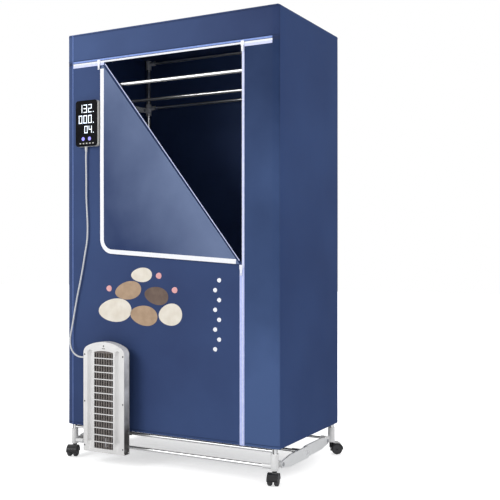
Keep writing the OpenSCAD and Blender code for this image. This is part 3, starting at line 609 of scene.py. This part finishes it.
ZIP_FOOT, STRIP_FOOT = HEM + 4 * MM, 1.473
for name, x0, x1, z0, z1, mat in (
        ("rear_strip_low", STRIP_LEFT, -STRIP_LEFT, STRIP_FOOT, 1.480, tape),
        ("rear_strip_middle", STRIP_LEFT, -STRIP_LEFT, 1.480, 1.487, tape_pale),
        ("rear_strip_high", STRIP_LEFT, -STRIP_LEFT, 1.487, 1.493, piping_blue),
        ("rear_zip_left", -0.2975, -0.2895, ZIP_FOOT, STRIP_FOOT, tape_pale),
        ("rear_zip_middle", -0.2895, -0.2865, ZIP_FOOT, STRIP_FOOT, piping_blue),
        ("rear_zip_right", -0.2865, -0.2785, ZIP_FOOT, STRIP_FOOT, tape_pale)):
    strip(name, x0, x1, z0, z1, mat, Y_REAR - 0.4 * MM, 1.6 * MM, "rear_frame")

EDGING_Y = Y_REAR - 0.2 * MM
for node in ("rear_window", "vent_mesh"):
    punch(rear, round_outline(node, -0.5 * MM), Y_REAR - 10 * MM, 20 * MM)
    rows = [[(x, EDGING_Y, z) for x, z in round_outline(node, grow)] for grow in (-3 * MM, 8 * MM)]
    bm = sheet_from_rows([row + row[:1] for row in rows])
    bmesh.ops.remove_doubles(bm, verts=bm.verts, dist=1e-6)
    thicken(bm, 1.6 * MM)
    bmesh.ops.translate(bm, verts=bm.verts, vec=(0, EDGING_Y - min(v.co.y for v in bm.verts), 0))
    piece(node + "_edging", bm, trim_white, "rear_frame")


# ---- Folded corner of the door ----

FLAP_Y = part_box("door_flap")[0][1]
FLAP_CORNER, FLAP_CORNER_R = Vector((-0.233, 0.823)), 0.055
BAND_WIDE = 16 * MM
flap_edge = [Vector((-0.278, 1.470)), Vector((-0.288, 1.456))]
flap_edge += [FLAP_CORNER + FLAP_CORNER_R * Vector((math.cos(math.radians(a)), math.sin(math.radians(a))))
              for a in range(180, 266, 5)]
flap_edge.append(Vector((0.305, 0.734)))


def flap_sag(x, z):
    """Slow roll of the limp cloth, away from the cabinet."""
    return 1.6 * MM * max(0.0, noise.noise(Vector((x * 4.0, z * 2.2, 9.1)))) + 0.5 * MM


def resampled(points, step):
    """Points along a line, about a step apart."""
    line = []
    for a, b in zip(points, points[1:]):
        line += [a + (b - a) * t for t in spaced(0, 1, step / (b - a).length)[:-1]]
    return line + points[-1:]


bm = bmesh.new()
bm.faces.new([bm.verts.new((p.x, FLAP_Y, p.y)) for p in flap_edge])
for z in spaced(0.745, 1.465, 24 * MM):
    cut_sheet(bm, (0, 0, z), (0, 0, 1))
for x in spaced(-0.285, 0.295, 24 * MM):
    cut_sheet(bm, (x, 0, 0), (1, 0, 0))
for v in bm.verts:
    v.co.y -= flap_sag(v.co.x, v.co.z)
flap_area = sum(f.calc_area() for f in bm.faces)
thicken(bm, CLOTH, 1, -1)
flap = piece("door_corner_cloth", bm, flap_blue, "door_flap")
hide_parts("door_flap")

# White zip band round the free edges, short of the tip that turns close to the side zip
free = flap_edge[1:-1] + [Vector((0.290, 0.7349))]
inner = [p - outward(free, i) * BAND_WIDE for i, p in enumerate(free)]
bm = sheet_from_rows([[(p.x, FLAP_Y - flap_sag(p.x, p.y) - 0.9 * MM, p.y) for p in resampled(line, 20 * MM)]
                      for line in (free, inner)])
thicken(bm, 0.8 * MM, 1, -1)
flap_band = piece("door_corner_band", bm, trim_white, "door_flap")

fold_line = [(FOLD_HIGH.x + SLANT.x * t, Y_FRONT - 2.2 * MM, FOLD_HIGH.y + SLANT.y * t)
             for t in spaced(0.012, 0.985, 0.03)]
tube("door_fold_edge", fold_line, 1.6 * MM, tape_pale, "front_frame")


# ---- Printed motif: plain pebbles and dots ----

def pebble(name, x, z, wide, high, tilt, mat):
    """Flat printed oval on the front cloth."""
    turn = math.radians(tilt)
    outline = []
    for i in range(36):
        a = 2 * math.pi * i / 36
        p, q = wide / 2 * math.cos(a), high / 2 * math.sin(a) * (1 + 0.12 * math.cos(a))
        outline.append((x + p * math.cos(turn) - q * math.sin(turn),
                        z + p * math.sin(turn) + q * math.cos(turn)))
    return flat_shape(name, outline, Y_FRONT - 1.0 * MM, 1.3 * MM, mat, "front_frame")


for i, (x, z, wide, high, tilt, mat) in enumerate((
        (-0.225, 0.560, 0.150, 0.086, 4, print_cream), (-0.095, 0.545, 0.120, 0.072, -5, print_tan),
        (0.020, 0.552, 0.100, 0.078, 8, print_cream), (-0.165, 0.634, 0.118, 0.066, 10, print_tan),
        (-0.040, 0.618, 0.104, 0.064, -8, print_brown), (-0.105, 0.692, 0.092, 0.052, 3, print_cream))):
    pebble(f"print_pebble_{i}", x, z, wide, high, tilt, mat)
for i, (x, z) in enumerate(((-0.252, 0.640), (0.038, 0.640), (-0.030, 0.690))):
    pebble(f"print_dot_{i}", x, z, 0.024, 0.022, 0, print_pink)
for i in range(8):
    pebble(f"print_spot_{i}", 0.205 + 0.016 * (i % 2), 0.440 + 0.034 * i, 0.016, 0.015, 0, trim_white)


# ---- Finishes of the carried-over solids ----

FINISH = {
    "front_legs": steel_z, "rear_legs": steel_z, "front_top_rail": steel_x, "rear_top_rail": steel_x,
    "front_shelf_rail": steel_x, "rear_shelf_rail": steel_x, "front_base_rails": steel_x,
    "rear_base_rails": steel_x, "lower_cross_tube": steel_x, "hanging_rod": steel_x, "blower_hooks": steel_z,
    "front_pivot_pins": rivet, "rear_pivot_pins": rivet, "front_top_caps": white_plastic,
    "rear_top_caps": white_plastic, "front_shelf_brackets": white_plastic, "rear_shelf_brackets": white_plastic,
    "front_foot_brackets": white_plastic, "rear_foot_brackets": white_plastic, "lower_front_arms": white_paint,
    "lower_rear_arms": white_paint, "upper_front_arms": white_paint, "upper_rear_arms": white_paint,
    "slider_top_left": teeth_white, "slider_top_right": teeth_white, "slider_side": teeth_white,
    "rear_window": film_blue, "vent_mesh": net_blue, "air_port_mesh": net_dark,
    "blower_front_shell": blower_white, "blower_rear_shell": blower_grey, "blower_grille": grille_brown,
    "blower_screws": screw_black, "fan_rotor": rotor_black, "fan_motor": zinc, "fan_bush": brass,
    "heater": fins, "mains_inlet": rotor_black, "controller_body": beige_grey,
    "controller_face": gloss_black, "cable_glands": cable_grey,
}
for end in ("fl", "fr", "rl", "rr"):
    FINISH["caster_hood_" + end] = caster_black
    FINISH["caster_wheels_" + end] = tread_black
for node, mat in FINISH.items():
    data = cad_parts[node].data
    data.materials.clear()
    data.materials.append(mat)


# ---- Blower: skins on its right and left side that carry a painted reflection and shade, and a dark mark under the upper screw ----

shell_low, shell_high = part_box("blower_front_shell")
MIDDLE_X = (shell_low[0] + shell_high[0]) / 2
SHOULDER_X, SHOULDER_Z, SHOULDER_R = 0.064, 0.4058, 0.0282
SKIN_TOP, SKIN_STEP = 0.399, 7 * MM
MARK_Z, MARK_HALF, MARK_R = 0.4245, 6 * MM, 1.3 * MM
rear_y = shell_high[1] - 1 * MM
for way, x in ((1, shell_high[0]), (-1, shell_low[0])):
    rows = []
    for z in [shell_low[2] + 1 * MM] + spaced(shell_low[2] + 9 * MM, SKIN_TOP, 20 * MM):
        front_y = shell_low[1] + (1 * MM if z > shell_low[2] + 5 * MM else 6 * MM)
        rows.append([(x + way * 0.25 * MM, y, z) for y in spaced(front_y, rear_y, SKIN_STEP)])
    for out, z in arc(SHOULDER_X, SHOULDER_Z, SHOULDER_R, 8, 40, 4):
        rows.append([(MIDDLE_X + way * out, y, z) for y in spaced(shell_low[1] + 1 * MM, rear_y, SKIN_STEP)])
    bm = sheet_from_rows(rows)
    thicken(bm, 0.2 * MM)
    piece(f"blower_side_skin_{'right' if way > 0 else 'left'}", bm, blower_side, "front_frame")
mark = (arc(MIDDLE_X + MARK_HALF, MARK_Z, MARK_R, -90, 90, 4)
        + arc(MIDDLE_X - MARK_HALF, MARK_Z, MARK_R, 90, 270, 4))
flat_shape("blower_mark", mark, shell_low[1] - 0.2 * MM, 0.6 * MM, grille_dark, "front_frame")


# ---- Controller display ----

face_low, face_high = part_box("controller_face")
FACE_X = (face_low[0] + face_high[0]) / 2
FACE_Y = face_low[1] - 0.3 * MM
LIT_DEPTH = 0.4 * MM
DIGITS_RIGHT = FACE_X + 31 * MM
SEGMENTS = {"0": "abcdef", "1": "bc", "2": "abged", "3": "abgcd", "4": "fgbc"}


def lit_box(x0, x1, z0, z1):
    return (x0, FACE_Y, z0), (x1, FACE_Y + LIT_DEPTH, z1)


def digit_boxes(char, x, z, h):
    """Seven-segment digit with its lower left corner at x, z."""
    w, t = h * 0.54, h * 0.095
    bars = {"a": (0, h - t, w, h), "d": (0, 0, w, t), "g": (0, (h - t) / 2, w, (h + t) / 2),
            "b": (w - t, h / 2, w, h), "c": (w - t, 0, w, h / 2), "e": (0, 0, t, h / 2), "f": (0, h / 2, t, h)}
    return [lit_box(x + a, x + c, z + b, z + d) for a, b, c, d in (bars[s] for s in SEGMENTS[char])]


lit = []
for text, height, low in (("132", 30 * MM, 1.296), ("000", 30 * MM, 1.256), ("04", 27 * MM, 1.219)):
    step = height * 0.74
    left = DIGITS_RIGHT - step * len(text)
    for i, char in enumerate(text):
        lit += digit_boxes(char, left + i * step, low, height)
    lit.append(lit_box(DIGITS_RIGHT, DIGITS_RIGHT + 3.5 * MM, low, low + 3.5 * MM))
blocks("display_digits", lit, digit_white, "front_frame")
for i in range(2):
    icon = arc(FACE_X - 15 * MM + 30 * MM * i, 1.198, 7 * MM, 0, 345, 23)
    flat_shape(f"display_icon_{i}", icon, FACE_Y, LIT_DEPTH, icon_violet, "front_frame")
marks = [lit_box(x, x + 7 * MM, 1.179, 1.183) for x in [FACE_X - 32 * MM + 15 * MM * i for i in range(5)]]
blocks("display_marks", marks, beige_grey, "front_frame")


# ---- Floor, light and view ----

# To the camera alone, the floor glows more with its distance, so that it meets the white backdrop
floor_mat = material("floor_pale", (0.86, 0.86, 0.86), (0.90, 0.90, 0.90), (0.7, 0.8), 3, bump=0.02)
tree = floor_mat.node_tree
place = tree.nodes.new("ShaderNodeTexCoord")
distance = tree.nodes.new("ShaderNodeVectorMath")
distance.operation = "LENGTH"
tree.links.new(place.outputs["Object"], distance.inputs[0])
rays = tree.nodes.new("ShaderNodeLightPath")
fade = ranged(tree, distance.outputs["Value"], 0.45, 1.6, 0.58, 1.3)
glow = math_node(tree, "MULTIPLY", rays.outputs["Is Camera Ray"], fade)
tree.links.new(glow, tree.nodes["Principled BSDF"].inputs["Emission Strength"])
tree.nodes["Principled BSDF"].inputs["Emission Color"].default_value = (1, 1, 1, 1)
bm = bmesh.new()
bmesh.ops.create_grid(bm, x_segments=8, y_segments=8, size=12)
floor_data = bpy.data.meshes.new("floor")
bm.to_mesh(floor_data)
bm.free()
floor_data.materials.append(floor_mat)
floor = link("floor", floor_data)
floor.location.z = -0.5 * MM

# White to the camera, in gloss and through film, and dimmer as a light
WORLD_LIGHT = 0.55
world = bpy.data.worlds.new("studio")
bpy.context.scene.world = world
world.use_nodes = True
tree = world.node_tree
background = tree.nodes["Background"]
background.inputs["Color"].default_value = (1, 1, 1, 1)
rays = tree.nodes.new("ShaderNodeLightPath")
seen = math_node(tree, "MAXIMUM", rays.outputs["Is Camera Ray"], rays.outputs["Is Glossy Ray"])
seen = math_node(tree, "MAXIMUM", seen, rays.outputs["Is Transmission Ray"])
tree.links.new(ranged(tree, seen, 0, 1, WORLD_LIGHT, 1.0), background.inputs["Strength"])


def area_light(name, where, target, size, watts):
    data = bpy.data.lights.new(name, "AREA")
    data.shape = "DISK"
    data.size = size
    data.energy = watts
    obj = link(name, data)
    obj.location = where
    obj.rotation_euler = (Vector(target) - Vector(where)).to_track_quat("-Z", "Y").to_euler()


area_light("key", (-1.8, -3.6, 2.6), (0, 0, 0.9), 2.2, 75)
area_light("fill", (3.2, -1.6, 1.6), (0.2, 0, 0.8), 2.0, 28)
area_light("back", (-1.8, 3.4, 2.4), (0, 0.2, 0.9), 2.2, 42)

bpy.context.scene.view_settings.view_transform = "Standard"
